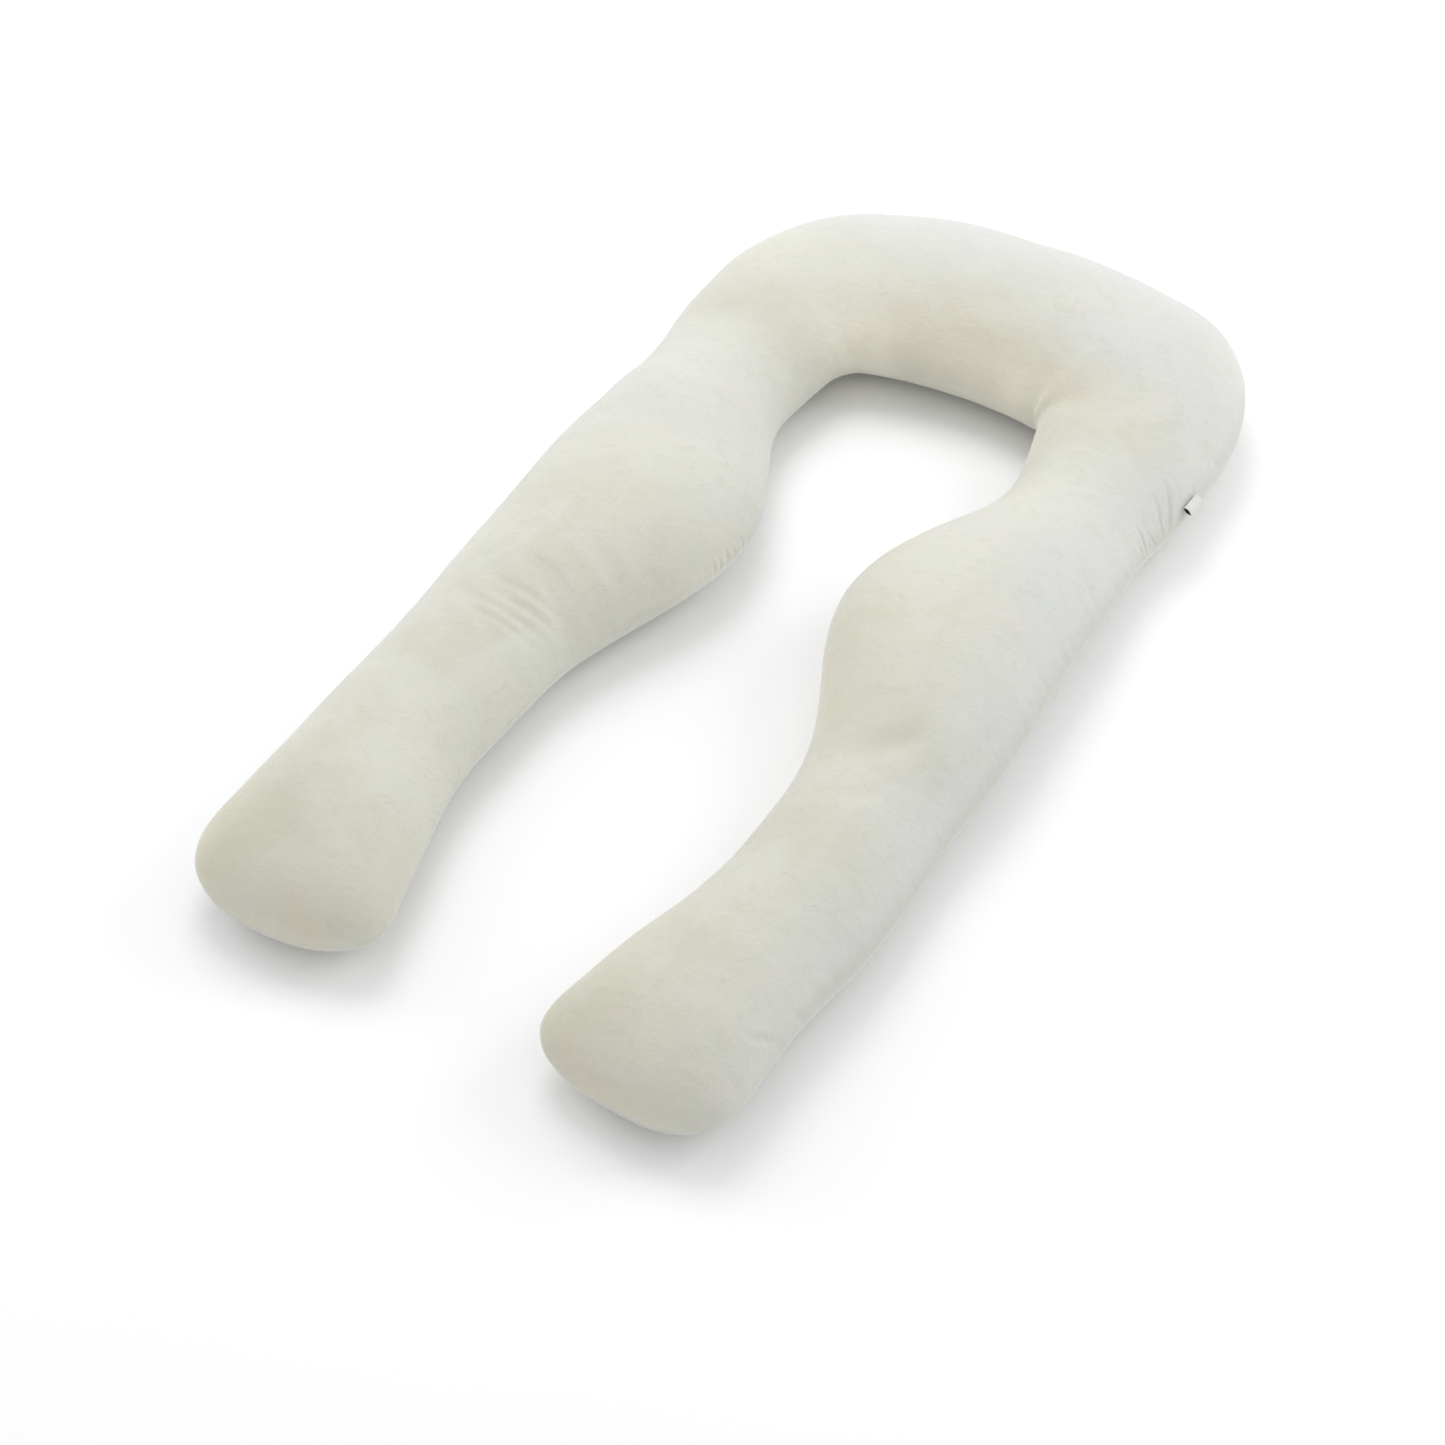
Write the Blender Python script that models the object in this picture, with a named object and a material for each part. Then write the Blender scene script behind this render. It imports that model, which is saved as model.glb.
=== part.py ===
"""U-shaped pregnancy pillow lying on its back: one filled, two-panel cover and the small
loop label sewn into its side seam. Metres, +Z up, legs towards -Y, bridge at +Y."""
import math
from collections import namedtuple

import bpy
import numpy as np
from mathutils import Matrix, Vector

# How far the legs and the bridge reach from the pillow's middle: each leg ends in a slight
# slant, longer on its outer side, with rounded corners
LegEnd = namedtuple("LegEnd", "outer_y inner_y squareness")
LEFT_END = LegEnd(-0.705, -0.684, 2.4)
RIGHT_END = LegEnd(-0.704, -0.688, 3.0)
BRIDGE_BACK_Y = 0.694
BRIDGE_INNER_Y = 0.425

# Filling: half the height of a stretch whose half width is LOFT_HALF_WIDTH, and how it grows
LOFT_HALF_HEIGHT = 0.068
LOFT_HALF_WIDTH = 0.110
LOFT_GROWTH = 0.6
# Share of the half height that the floor presses flat
FLOOR_SINK = 0.10
# Exponents of a section: a flat crown, and panels that meet at the seam in a soft edge
CROWN_POWER = 2.25
SEAM_POWER = 1.85

# Edges of both legs, measured out from the centre line
LegRow = namedtuple("LegRow", "y left_outer left_inner right_inner right_outer")
LEG_ROWS = (
    LegRow(-0.61, 0.338, 0.100, 0.108, 0.331),
    LegRow(-0.52, 0.337, 0.126, 0.130, 0.333),
    LegRow(-0.42, 0.341, 0.151, 0.155, 0.345),
    LegRow(-0.32, 0.342, 0.153, 0.162, 0.348),
    LegRow(-0.22, 0.344, 0.147, 0.157, 0.346),
    LegRow(-0.12, 0.346, 0.115, 0.121, 0.351),
    LegRow(-0.02, 0.347, 0.077, 0.079, 0.347),
    LegRow(0.08, 0.350, 0.075, 0.078, 0.341),
    LegRow(0.18, 0.348, 0.119, 0.117, 0.338),
    LegRow(0.28, 0.348, 0.149, 0.147, 0.336),
)

# Corners of the head, each a fan of sections about a pivot near the inner corner
Corner = namedtuple("Corner", "side pivot_x pivot_y inner_radius reach_x reach_y squareness")
LEFT_CORNER = Corner(-1, 0.104, 0.369, 0.036, 0.252, 0.307, 2.3)
RIGHT_CORNER = Corner(1, 0.105, 0.394, 0.024, 0.245, 0.292, 2.8)
CORNER_ANGLES = (0, 15, 30, 45, 60, 75)

# Leg ends: how far from its tip each starts to thin, how the height falls from there, and
# how low the seam hangs at the tip, as a share of its level
END_SLOPE_LENGTH = 0.20
END_SLOPE_POWER = 2.0
END_HEIGHT_POWER = 2.1
END_SEAM_LEVEL = 0.6

# Soft troughs of the cover, from the seam over the panel: place along the pillow as a share
# of its length from the left leg end, angle round the section where it starts and ends,
# depth and half width
Trough = namedtuple("Trough", "along start_angle end_angle depth half_width")
TROUGHS = (
    Trough(0.410, 95, 185, 0.0050, 0.013),
    Trough(0.438, 110, 180, 0.0025, 0.008),
    Trough(0.552, 105, 185, 0.0060, 0.012),
    Trough(0.582, 110, 180, 0.0030, 0.010),
)

# Mesh steps
RING_STEP = 0.026
CAP_RINGS = 6
RING_POINTS = 36

# The outer seam runs this many degrees of the section above the widest line
OUTER_SEAM_ANGLE = 16

# Loop label: a folded strip, its width along the seam and how far it stands out
LABEL_Y = 0.365
LABEL_WIDTH = 0.027
LABEL_REACH = 0.012
LABEL_HALF_BULGE = 0.0024
LABEL_TAPE = 0.0009
LABEL_SLIT = 0.0003
LABEL_DROOP = math.radians(30)
LABEL_GAP = 0.0003
LABEL_STEPS = 10

# Faces that meet at more than this are shown as an edge
SHARP_ANGLE = math.radians(50)

IVORY = (0.80, 0.79, 0.72, 1.0)
WHITE = (0.86, 0.86, 0.85, 1.0)


def clear_scene():
    """Start from an empty scene."""
    for item in list(bpy.data.objects):
        bpy.data.objects.remove(item, do_unlink=True)


def make_material(name, colour, roughness):
    """A plain material in the piece's own colour."""
    material = bpy.data.materials.new(name)
    material.use_nodes = True
    shader = material.node_tree.nodes["Principled BSDF"]
    shader.inputs["Base Color"].default_value = colour
    shader.inputs["Roughness"].default_value = roughness
    shader.inputs["Metallic"].default_value = 0.0
    return material


def smooth_curve(knots, rows, places):
    """Natural cubic spline through rows of values, read at the given places."""
    knots = np.asarray(knots, float)
    rows = np.asarray(rows, float)
    step = np.diff(knots)
    count = len(knots)
    system = np.eye(count)
    right = np.zeros_like(rows)
    for i in range(1, count - 1):
        system[i, i - 1:i + 2] = step[i - 1], 2 * (step[i - 1] + step[i]), step[i]
        slope_after = (rows[i + 1] - rows[i]) / step[i]
        slope_before = (rows[i] - rows[i - 1]) / step[i - 1]
        right[i] = 6 * (slope_after - slope_before)
    bend = np.linalg.solve(system, right)
    i = np.clip(np.searchsorted(knots, places) - 1, 0, count - 2)
    ahead = (knots[i + 1] - places)[:, None]
    behind = (places - knots[i])[:, None]
    width = step[i][:, None]
    curve = (bend[i] * ahead ** 3 + bend[i + 1] * behind ** 3) / (6 * width)
    curve += (rows[i] / width - bend[i] * width / 6) * ahead
    curve += (rows[i + 1] / width - bend[i + 1] * width / 6) * behind
    return curve


def corner_rows(corner):
    """Outer and inner points of the fan of sections round one corner of the head."""
    rows = []
    for degrees in CORNER_ANGLES:
        across = math.cos(math.radians(degrees))
        back = math.sin(math.radians(degrees))
        n = corner.squareness
        reach = ((across / corner.reach_x) ** n + (back / corner.reach_y) ** n) ** (-1 / n)
        outer_x = corner.pivot_x + reach * across
        inner_x = corner.pivot_x + corner.inner_radius * across
        outer_y = corner.pivot_y + reach * back
        inner_y = corner.pivot_y + corner.inner_radius * back
        rows.append((corner.side * outer_x, outer_y, corner.side * inner_x, inner_y))
    return rows


def edge_rows():
    """Outer and inner edge points from the left leg's end, round the head, to the right's."""
    left = [(-row.left_outer, row.y, -row.left_inner, row.y) for row in LEG_ROWS]
    right = [(row.right_outer, row.y, row.right_inner, row.y) for row in LEG_ROWS]
    middle = [(0.0, BRIDGE_BACK_Y, 0.0, BRIDGE_INNER_Y)]
    head = corner_rows(LEFT_CORNER) + middle + corner_rows(RIGHT_CORNER)[::-1]
    return np.array(left + head + right[::-1])


def end_rows(first, second, end):
    """Sections of a rounded leg end, from its tip to just before the first leg row: their
    edges, and their half widths before the end narrows them."""
    outer_length = LEG_ROWS[0].y - end.outer_y
    inner_length = LEG_ROWS[0].y - end.inner_y
    length = np.array((outer_length, outer_length, inner_length, inner_length))
    run = (first - second) / (second[1] - first[1])
    rows, widths = [], []
    for i in range(CAP_RINGS, 0, -1):
        out = math.sin(0.5 * math.pi * i / (CAP_RINGS + 1))
        edges = first + run * out * length
        middle = (edges[:2] + edges[2:]) / 2
        narrow = (1 - out ** end.squareness) ** (1 / end.squareness)
        half = (edges[:2] - edges[2:]) / 2 * narrow
        rows.append(np.concatenate((middle + half, middle - half)))
        widths.append(np.linalg.norm(half) / narrow)
    return rows, widths


def half_height(half_width):
    """How far the filling pushes the panels up and down where the pillow is this wide."""
    return LOFT_HALF_HEIGHT * (half_width / LOFT_HALF_WIDTH) ** LOFT_GROWTH


def height_share(middle):
    """The share of its full height that the section with this middle keeps near a leg end."""
    end = LEFT_END if middle[0] < 0 else RIGHT_END
    from_tip = middle[1] - (end.outer_y + end.inner_y) / 2
    out = max(0.0, 1 - from_tip / END_SLOPE_LENGTH)
    return (1 - out ** END_SLOPE_POWER) ** (1 / END_HEIGHT_POWER)


def seam_level(full, share):
    """How high the seam runs: the filling lifts it, and at a leg end it hangs lower."""
    return full * (1 - FLOOR_SINK) * (END_SEAM_LEVEL + (1 - END_SEAM_LEVEL) * share)


def body_sections():
    """Every section along the pillow: its two edge points, its full half width before a leg
    end narrows it, and the share of its full height that it keeps."""
    rows = edge_rows()
    middles = (rows[:, :2] + rows[:, 2:]) / 2
    lengths = np.linalg.norm(np.diff(middles, axis=0), axis=1)
    knots = np.concatenate(([0.0], np.cumsum(lengths)))
    count = round(knots[-1] / RING_STEP) + 1
    edges = smooth_curve(knots, rows, np.linspace(0.0, knots[-1], count))
    start, start_widths = end_rows(rows[0], rows[1], LEFT_END)
    finish, finish_widths = end_rows(rows[-1], rows[-2], RIGHT_END)
    widths = np.linalg.norm(edges[:, :2] - edges[:, 2:], axis=1) / 2
    edges = np.vstack((start, edges, finish[::-1]))
    widths = np.concatenate((start_widths, widths, finish_widths[::-1]))
    shares = [height_share((edge[:2] + edge[2:]) / 2) for edge in edges]
    return edges, widths, shares


def trough_depth(along, angle):
    """How far the cover is drawn in at this share of the length and this angle."""
    depth = 0.0
    for trough in TROUGHS:
        span = (angle - trough.start_angle) / (trough.end_angle - trough.start_angle)
        if 0.0 <= span <= 1.0:
            across = (along - trough.along) / trough.half_width
            depth += trough.depth * math.exp(-across * across) * math.sin(math.pi * span)
    return depth


def section_points(outer, inner, full_half_width, share, along):
    """One closed ring of points: seam, top panel, seam, bottom panel."""
    middle = (outer + inner) / 2
    half_width = np.linalg.norm(outer - inner) / 2
    across = (outer - inner) / (2 * half_width)
    full = half_height(full_half_width)
    points = []
    for i in range(RING_POINTS):
        angle = 2 * math.pi * i / RING_POINTS
        side, rise = math.cos(angle), math.sin(angle)
        reach = half_width * math.copysign(abs(side) ** (2 / CROWN_POWER), side)
        height = full * share * math.copysign(abs(rise) ** (2 / SEAM_POWER), rise)
        size = math.hypot(reach, height)
        keep = 1 - trough_depth(along, math.degrees(angle)) / size
        x, y = middle + across * reach * keep
        z = seam_level(full, share) + height * keep
        points.append((x, y, max(z, 0.0)))
    return points


def pillow_points():
    """The rings of the body and the points that close its two leg ends."""
    edges, widths, shares = body_sections()
    middles = (edges[:, :2] + edges[:, 2:]) / 2
    travelled = np.concatenate(([0.0], np.cumsum(np.linalg.norm(np.diff(middles, axis=0), axis=1))))
    rings = []
    for row, width, share, place in zip(edges, widths, shares, travelled / travelled[-1]):
        rings.append(section_points(row[:2], row[2:], width, share, place))
    tips = []
    for place, end in ((0, LEFT_END), (-1, RIGHT_END)):
        level = seam_level(half_height(widths[place]), 0.0)
        tips.append((middles[place][0], (end.outer_y + end.inner_y) / 2, level))
    return rings, tips


def build_pillow(material):
    """The filled cover as one closed skin of quads with a fan of triangles at each leg end."""
    rings, tips = pillow_points()
    points = [point for ring in rings for point in ring] + tips
    faces = []
    for r in range(len(rings) - 1):
        for i in range(RING_POINTS):
            j = (i + 1) % RING_POINTS
            a, b = r * RING_POINTS, (r + 1) * RING_POINTS
            faces.append((a + i, a + j, b + j, b + i))
    last = (len(rings) - 1) * RING_POINTS
    first_tip, last_tip = len(points) - 2, len(points) - 1
    for i in range(RING_POINTS):
        j = (i + 1) % RING_POINTS
        faces.append((first_tip, j, i))
        faces.append((last_tip, last + i, last + j))
    return add_piece("pillow_body", points, faces, material)


def outer_seam_point(ring):
    """Where the outer seam crosses this ring, and the way up the cover from there."""
    place = OUTER_SEAM_ANGLE / 360 * RING_POINTS
    below = int(place)
    lower, upper = Vector(ring[below]), Vector(ring[below + 1])
    return lower.lerp(upper, place - below), (upper - lower).normalized()


def outer_seam_frame(y):
    """The right side's outer seam at this y: its point, its direction and the cover's normal."""
    rings, _ = pillow_points()
    seam = [outer_seam_point(ring) for ring in rings]
    seam = [row for row in seam if row[0].x > 0 and row[0].y < BRIDGE_INNER_Y]
    seam.sort(key=lambda row: row[0].y)
    for (before, up_before), (after, up_after) in zip(seam, seam[1:]):
        if before.y <= y < after.y:
            share = (y - before.y) / (after.y - before.y)
            along = (after - before).normalized()
            normal = along.cross(up_before.lerp(up_after, share)).normalized()
            return before.lerp(after, share), along, normal
    raise ValueError("no seam at y %.3f" % y)


def label_outlines():
    """Outside and inside of the folded strip in section: distance out and height."""
    outside, inside = [], []
    for direction in (1, -1):
        for i in range(LABEL_STEPS + 1):
            share = i / LABEL_STEPS if direction > 0 else 1 - i / LABEL_STEPS
            bulge = LABEL_HALF_BULGE * math.sin(math.pi * share)
            outside.append((LABEL_REACH * share, direction * (bulge + LABEL_TAPE)))
            inner_reach = LABEL_TAPE + (LABEL_REACH - 2 * LABEL_TAPE) * share
            inside.append((inner_reach, direction * (bulge + LABEL_SLIT / 2)))
    return outside, inside


def build_label(material):
    """The loop label: a strip folded in two, open at both ends, standing out of the seam."""
    root, along, normal = outer_seam_frame(LABEL_Y)
    outward = along.cross(Vector((0, 0, 1))).normalized()
    out = (outward * math.cos(LABEL_DROOP) - Vector((0, 0, math.sin(LABEL_DROOP)))).normalized()
    up = out.cross(along).normalized()
    # The lower edge of the drooping root is what comes nearest to the cover
    root += normal * (LABEL_GAP + LABEL_TAPE * up.dot(normal))
    outside, inside = label_outlines()
    points, faces = [], []
    for end in (-0.5, 0.5):
        for outline in (outside, inside):
            for reach, rise in outline:
                start = root + along * (end * LABEL_WIDTH)
                points.append(tuple(start + out * reach + up * rise))
    count = len(outside)
    outer_near, inner_near, outer_far, inner_far = 0, count, 2 * count, 3 * count
    for i in range(count):
        j = (i + 1) % count
        faces.append((outer_near + i, outer_near + j, outer_far + j, outer_far + i))
        faces.append((inner_near + j, inner_near + i, inner_far + i, inner_far + j))
        faces.append((outer_near + i, inner_near + i, inner_near + j, outer_near + j))
        faces.append((outer_far + j, inner_far + j, inner_far + i, outer_far + i))
    return add_piece("loop_label", points, faces, material)


def add_piece(name, points, faces, material):
    """A named object of these points and faces, smooth where its faces nearly agree."""
    mesh = bpy.data.meshes.new(name)
    mesh.from_pydata(points, [], faces)
    mesh.materials.append(material)
    mesh.shade_smooth()
    mesh.set_sharp_from_angle(angle=SHARP_ANGLE)
    piece = bpy.data.objects.new(name, mesh)
    bpy.context.collection.objects.link(piece)
    return piece


def centre_on_box(pieces):
    """Put the origin under the middle of the whole object's box."""
    corners = np.array([vertex.co for piece in pieces for vertex in piece.data.vertices])
    middle = (corners.min(axis=0) + corners.max(axis=0)) / 2
    shift = Vector((-middle[0], -middle[1], 0.0))
    for piece in pieces:
        piece.data.transform(Matrix.Translation(shift))


def main():
    clear_scene()
    pillow = build_pillow(make_material("plush_cover", IVORY, 0.9))
    label = build_label(make_material("label_tape", WHITE, 0.6))
    centre_on_box((pillow, label))


main()
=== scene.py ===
"""Looks of the U-shaped pregnancy pillow: the plush cover with its seam, puckers and soft
creases, the folded loop label, a pale floor, soft studio light and the camera."""
import math
from collections import namedtuple

import bpy
import numpy as np
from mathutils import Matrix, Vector, noise

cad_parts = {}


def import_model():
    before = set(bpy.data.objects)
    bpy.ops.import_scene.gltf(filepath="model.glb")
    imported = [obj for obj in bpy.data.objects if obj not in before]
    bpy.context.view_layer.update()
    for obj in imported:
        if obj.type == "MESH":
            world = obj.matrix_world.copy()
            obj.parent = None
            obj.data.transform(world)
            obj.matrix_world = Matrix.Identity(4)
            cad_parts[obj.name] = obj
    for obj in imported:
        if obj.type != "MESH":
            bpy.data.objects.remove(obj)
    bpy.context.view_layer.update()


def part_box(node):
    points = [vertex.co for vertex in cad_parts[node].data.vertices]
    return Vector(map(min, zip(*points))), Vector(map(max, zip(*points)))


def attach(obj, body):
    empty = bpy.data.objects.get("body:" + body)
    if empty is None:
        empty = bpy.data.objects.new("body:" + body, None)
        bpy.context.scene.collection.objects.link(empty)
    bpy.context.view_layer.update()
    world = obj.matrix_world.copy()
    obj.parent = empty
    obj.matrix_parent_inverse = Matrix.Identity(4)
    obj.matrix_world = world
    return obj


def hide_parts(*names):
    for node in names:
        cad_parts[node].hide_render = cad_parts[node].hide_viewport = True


# Camera, as fitted to the photograph: it looks at a point of the floor from this far away
CAMERA_TARGET = Vector((0.0209, -0.1596, 0.0))
CAMERA_DISTANCE = 3.273
CAMERA_AZIMUTH = math.radians(31.0)
CAMERA_ELEVATION = math.radians(46.7)
CAMERA_LENS = 72.4

# How far the legs and the bridge reach from the pillow's middle
LegEnd = namedtuple("LegEnd", "outer_y inner_y squareness")
LEFT_END = LegEnd(-0.705, -0.684, 2.4)
RIGHT_END = LegEnd(-0.704, -0.688, 3.0)
BRIDGE_BACK_Y = 0.694
BRIDGE_INNER_Y = 0.425

# Filling and section
LOFT_HALF_HEIGHT = 0.068
LOFT_HALF_WIDTH = 0.110
LOFT_GROWTH = 0.6
FLOOR_SINK = 0.10
CROWN_POWER = 2.25
SEAM_POWER = 1.85

# Edges of both legs, measured out from the centre line
LegRow = namedtuple("LegRow", "y left_outer left_inner right_inner right_outer")
LEG_ROWS = (
    LegRow(-0.61, 0.338, 0.100, 0.108, 0.331),
    LegRow(-0.52, 0.337, 0.126, 0.130, 0.333),
    LegRow(-0.42, 0.341, 0.151, 0.155, 0.345),
    LegRow(-0.32, 0.342, 0.153, 0.162, 0.348),
    LegRow(-0.22, 0.344, 0.147, 0.157, 0.346),
    LegRow(-0.12, 0.346, 0.115, 0.121, 0.351),
    LegRow(-0.02, 0.347, 0.077, 0.079, 0.347),
    LegRow(0.08, 0.350, 0.075, 0.078, 0.341),
    LegRow(0.18, 0.348, 0.119, 0.117, 0.338),
    LegRow(0.28, 0.348, 0.149, 0.147, 0.336),
)

# Corners of the head, each a fan of sections about a pivot near the inner corner
Corner = namedtuple("Corner", "side pivot_x pivot_y inner_radius reach_x reach_y squareness")
LEFT_CORNER = Corner(-1, 0.104, 0.369, 0.036, 0.252, 0.307, 2.3)
RIGHT_CORNER = Corner(1, 0.105, 0.394, 0.024, 0.245, 0.292, 2.8)
CORNER_ANGLES = (0, 15, 30, 45, 60, 75)

# Leg ends: how far from its tip each starts to thin, how the height falls from there, and
# how low the seam hangs at the tip, as a share of its level
END_SLOPE_LENGTH = 0.20
END_SLOPE_POWER = 2.0
END_HEIGHT_POWER = 2.1
END_SEAM_LEVEL = 0.6

# Mesh of the cover before its one subdivision: how far apart its rings stand, and closer on
# two stretches with fine puckers, which are measured from the left leg's first row
RING_STEP = 0.0053
FineStretch = namedtuple("FineStretch", "start end step")
FINE_STRETCHES = (
    FineStretch(0.580, 0.670, 0.0030),
    FineStretch(1.690, 1.850, 0.0022),
)
FINE_FADE = 0.05
SPOT_STEP = 0.001
CAP_RINGS = 10
RING_POINTS = 40


def smooth_curve(knots, rows, places):
    """Natural cubic spline through rows of values, read at the given places."""
    knots = np.asarray(knots, float)
    rows = np.asarray(rows, float)
    step = np.diff(knots)
    count = len(knots)
    system = np.eye(count)
    right = np.zeros_like(rows)
    for i in range(1, count - 1):
        system[i, i - 1:i + 2] = step[i - 1], 2 * (step[i - 1] + step[i]), step[i]
        slope_after = (rows[i + 1] - rows[i]) / step[i]
        slope_before = (rows[i] - rows[i - 1]) / step[i - 1]
        right[i] = 6 * (slope_after - slope_before)
    bend = np.linalg.solve(system, right)
    i = np.clip(np.searchsorted(knots, places) - 1, 0, count - 2)
    ahead = (knots[i + 1] - places)[:, None]
    behind = (places - knots[i])[:, None]
    width = step[i][:, None]
    curve = (bend[i] * ahead ** 3 + bend[i + 1] * behind ** 3) / (6 * width)
    curve += (rows[i] / width - bend[i] * width / 6) * ahead
    curve += (rows[i + 1] / width - bend[i + 1] * width / 6) * behind
    return curve


def corner_rows(corner):
    """Outer and inner points of the fan of sections round one corner of the head."""
    rows = []
    for degrees in CORNER_ANGLES:
        across = math.cos(math.radians(degrees))
        back = math.sin(math.radians(degrees))
        n = corner.squareness
        reach = ((across / corner.reach_x) ** n + (back / corner.reach_y) ** n) ** (-1 / n)
        outer_x = corner.pivot_x + reach * across
        inner_x = corner.pivot_x + corner.inner_radius * across
        outer_y = corner.pivot_y + reach * back
        inner_y = corner.pivot_y + corner.inner_radius * back
        rows.append((corner.side * outer_x, outer_y, corner.side * inner_x, inner_y))
    return rows


def edge_rows():
    """Outer and inner edge points from the left leg's end, round the head, to the right's."""
    left = [(-row.left_outer, row.y, -row.left_inner, row.y) for row in LEG_ROWS]
    right = [(row.right_outer, row.y, row.right_inner, row.y) for row in LEG_ROWS]
    middle = [(0.0, BRIDGE_BACK_Y, 0.0, BRIDGE_INNER_Y)]
    head = corner_rows(LEFT_CORNER) + middle + corner_rows(RIGHT_CORNER)[::-1]
    return np.array(left + head + right[::-1])


def end_rows(first, second, end):
    """Sections of a rounded leg end, from its tip to just before the first leg row: their
    edges, and their half widths before the end narrows them."""
    outer_length = LEG_ROWS[0].y - end.outer_y
    inner_length = LEG_ROWS[0].y - end.inner_y
    length = np.array((outer_length, outer_length, inner_length, inner_length))
    run = (first - second) / (second[1] - first[1])
    rows, widths = [], []
    for i in range(CAP_RINGS, 0, -1):
        out = math.sin(0.5 * math.pi * i / (CAP_RINGS + 1))
        edges = first + run * out * length
        middle = (edges[:2] + edges[2:]) / 2
        narrow = (1 - out ** end.squareness) ** (1 / end.squareness)
        half = (edges[:2] - edges[2:]) / 2 * narrow
        rows.append(np.concatenate((middle + half, middle - half)))
        widths.append(np.linalg.norm(half) / narrow)
    return rows, widths


def half_height(half_width):
    """How far the filling pushes the panels up and down where the pillow is this wide."""
    return LOFT_HALF_HEIGHT * (half_width / LOFT_HALF_WIDTH) ** LOFT_GROWTH


def height_share(middle):
    """The share of its full height that the section with this middle keeps near a leg end."""
    end = LEFT_END if middle[0] < 0 else RIGHT_END
    from_tip = middle[1] - (end.outer_y + end.inner_y) / 2
    out = max(0.0, 1 - from_tip / END_SLOPE_LENGTH)
    return (1 - out ** END_SLOPE_POWER) ** (1 / END_HEIGHT_POWER)


def seam_level(full, share):
    """How high the seam runs: the filling lifts it, and at a leg end it hangs lower."""
    return full * (1 - FLOOR_SINK) * (END_SEAM_LEVEL + (1 - END_SEAM_LEVEL) * share)


def ring_places(length):
    """Where the rings stand along the pillow, closer together on the puckered stretches."""
    spots = np.linspace(0.0, length, round(length / SPOT_STEP))
    step = np.full_like(spots, RING_STEP)
    for stretch in FINE_STRETCHES:
        inside = np.minimum(spots - stretch.start, stretch.end - spots)
        share = np.clip(1.0 + inside / FINE_FADE, 0.0, 1.0)
        step = np.minimum(step, RING_STEP + (stretch.step - RING_STEP) * share)
    between = np.diff(spots) * 2 / (step[1:] + step[:-1])
    rings = np.concatenate(([0.0], np.cumsum(between)))
    return np.interp(np.linspace(0.0, rings[-1], round(rings[-1]) + 1), rings, spots)


def body_sections():
    """Every section along the pillow: its two edge points, its full half width before a leg
    end narrows it, and the share of its full height that it keeps."""
    rows = edge_rows()
    middles = (rows[:, :2] + rows[:, 2:]) / 2
    lengths = np.linalg.norm(np.diff(middles, axis=0), axis=1)
    knots = np.concatenate(([0.0], np.cumsum(lengths)))
    edges = smooth_curve(knots, rows, ring_places(knots[-1]))
    start, start_widths = end_rows(rows[0], rows[1], LEFT_END)
    finish, finish_widths = end_rows(rows[-1], rows[-2], RIGHT_END)
    widths = np.linalg.norm(edges[:, :2] - edges[:, 2:], axis=1) / 2
    edges = np.vstack((start, edges, finish[::-1]))
    widths = np.concatenate((start_widths, widths, finish_widths[::-1]))
    shares = [height_share((edge[:2] + edge[2:]) / 2) for edge in edges]
    return edges, widths, shares


def cover_grid():
    """Points of the smooth cover, rings by ring points by 3, and the two leg tips."""
    edges, widths, shares = body_sections()
    middles = (edges[:, :2] + edges[:, 2:]) / 2
    reach = np.linalg.norm(edges[:, :2] - edges[:, 2:], axis=1) / 2
    across = (edges[:, :2] - edges[:, 2:]) / (2 * reach[:, None])
    full = np.array([half_height(width) for width in widths])
    shares = np.array(shares)
    angle = 2 * math.pi * np.arange(RING_POINTS) / RING_POINTS
    side = np.sign(np.cos(angle)) * np.abs(np.cos(angle)) ** (2 / CROWN_POWER)
    rise = np.sign(np.sin(angle)) * np.abs(np.sin(angle)) ** (2 / SEAM_POWER)
    grid = np.empty((len(edges), RING_POINTS, 3))
    grid[:, :, :2] = middles[:, None] + across[:, None] * (reach[:, None] * side)[:, :, None]
    grid[:, :, 2] = seam_level(full, shares)[:, None] + (full * shares)[:, None] * rise
    tips = []
    for place, end in ((0, LEFT_END), (-1, RIGHT_END)):
        tip_y = (end.outer_y + end.inner_y) / 2
        tips.append((middles[place][0], tip_y, seam_level(full[place], 0.0)))
    return grid, np.array(tips)


# The cloth run: the cover blown up a little between its seam and the floor, both held
CLOTH_FRAMES = 20
CLOTH_PRESSURE = 4.0
CLOTH_CAP = 0.006
CLOTH_FLOOR_HOLD = 0.0015


def named_piece(name, mesh, material):
    """An object of this mesh and material, in the scene."""
    mesh.materials.clear()
    mesh.materials.append(material)
    mesh.shade_smooth()
    piece = bpy.data.objects.new(name, mesh)
    bpy.context.scene.collection.objects.link(piece)
    return piece


def placed_grid():
    """The cover's rings and leg tips, moved to where the part's own cover lies."""
    grid, tips = cover_grid()
    low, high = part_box("pillow_body")
    points = np.vstack((grid.reshape(-1, 3), tips))
    shift = (np.array(low) + np.array(high) - points.min(axis=0) - points.max(axis=0)) / 2
    shift[2] = 0.0
    return grid + shift, tips + shift


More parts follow.
